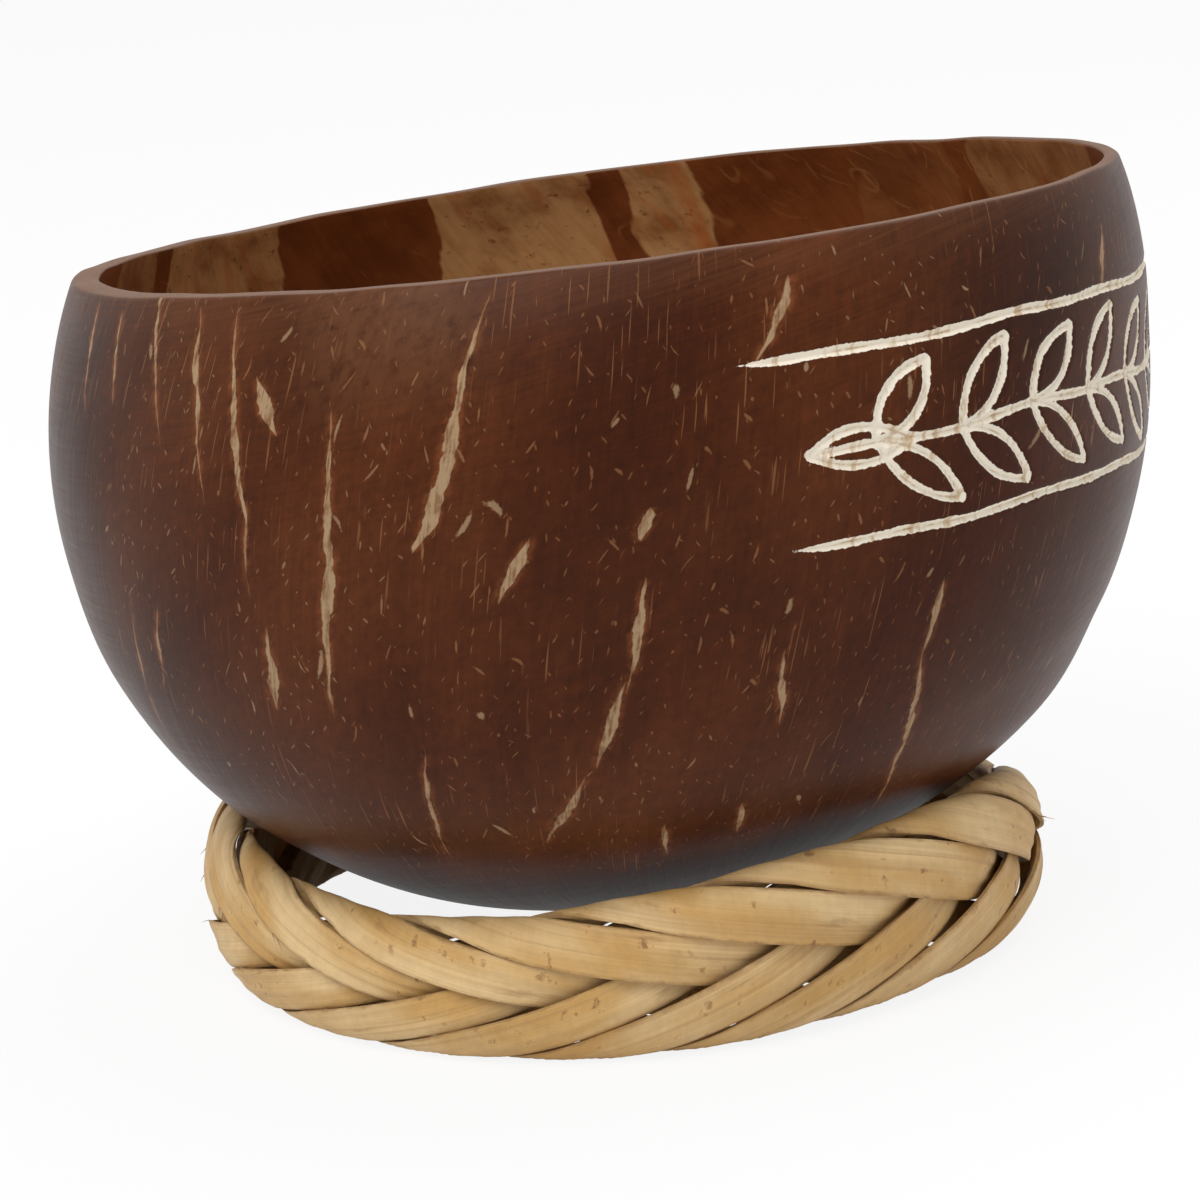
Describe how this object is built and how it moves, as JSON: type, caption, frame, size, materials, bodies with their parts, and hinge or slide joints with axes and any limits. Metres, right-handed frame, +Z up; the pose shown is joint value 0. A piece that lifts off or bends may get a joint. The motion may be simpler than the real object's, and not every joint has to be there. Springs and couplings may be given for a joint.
{
  "type": "coconut cup on a plaited ring",
  "caption": "Polished coconut-shell cup with a slanted rim and a carved band, standing loose in a low ring plaited from straw-coloured leaf strips.",
  "frame": {"origin": "On the floor under the middle of the shell's girth, with the ring resting on z = 0", "axes": "+Z up; +Y to the back, away from the pictured side; +X to the right as pictured, toward the higher side of the rim"},
  "size_m": [0.1196, 0.12, 0.0835],
  "materials": {
    "shell": "hard dark brown coconut shell, sanded and satin polished, with pale fibre flecks",
    "leaf": "dry straw-coloured leaf strip, matt with fine lengthwise fibres"
  },
  "bodies": {
    "ring": {"strand_1": "leaf", "strand_2": "leaf", "strand_3": "leaf", "strand_4": "leaf", "strand_5": "leaf", "strand_6": "leaf", "strand_7": "leaf"},
    "cup": {"coconut_shell": "shell"}
  },
  "joints": [
    {"name": "cup_lift", "type": "slide", "parent": "ring", "child": "cup", "axis": [0, 0, 1], "range_m": [0, 0.07]}
  ]
}
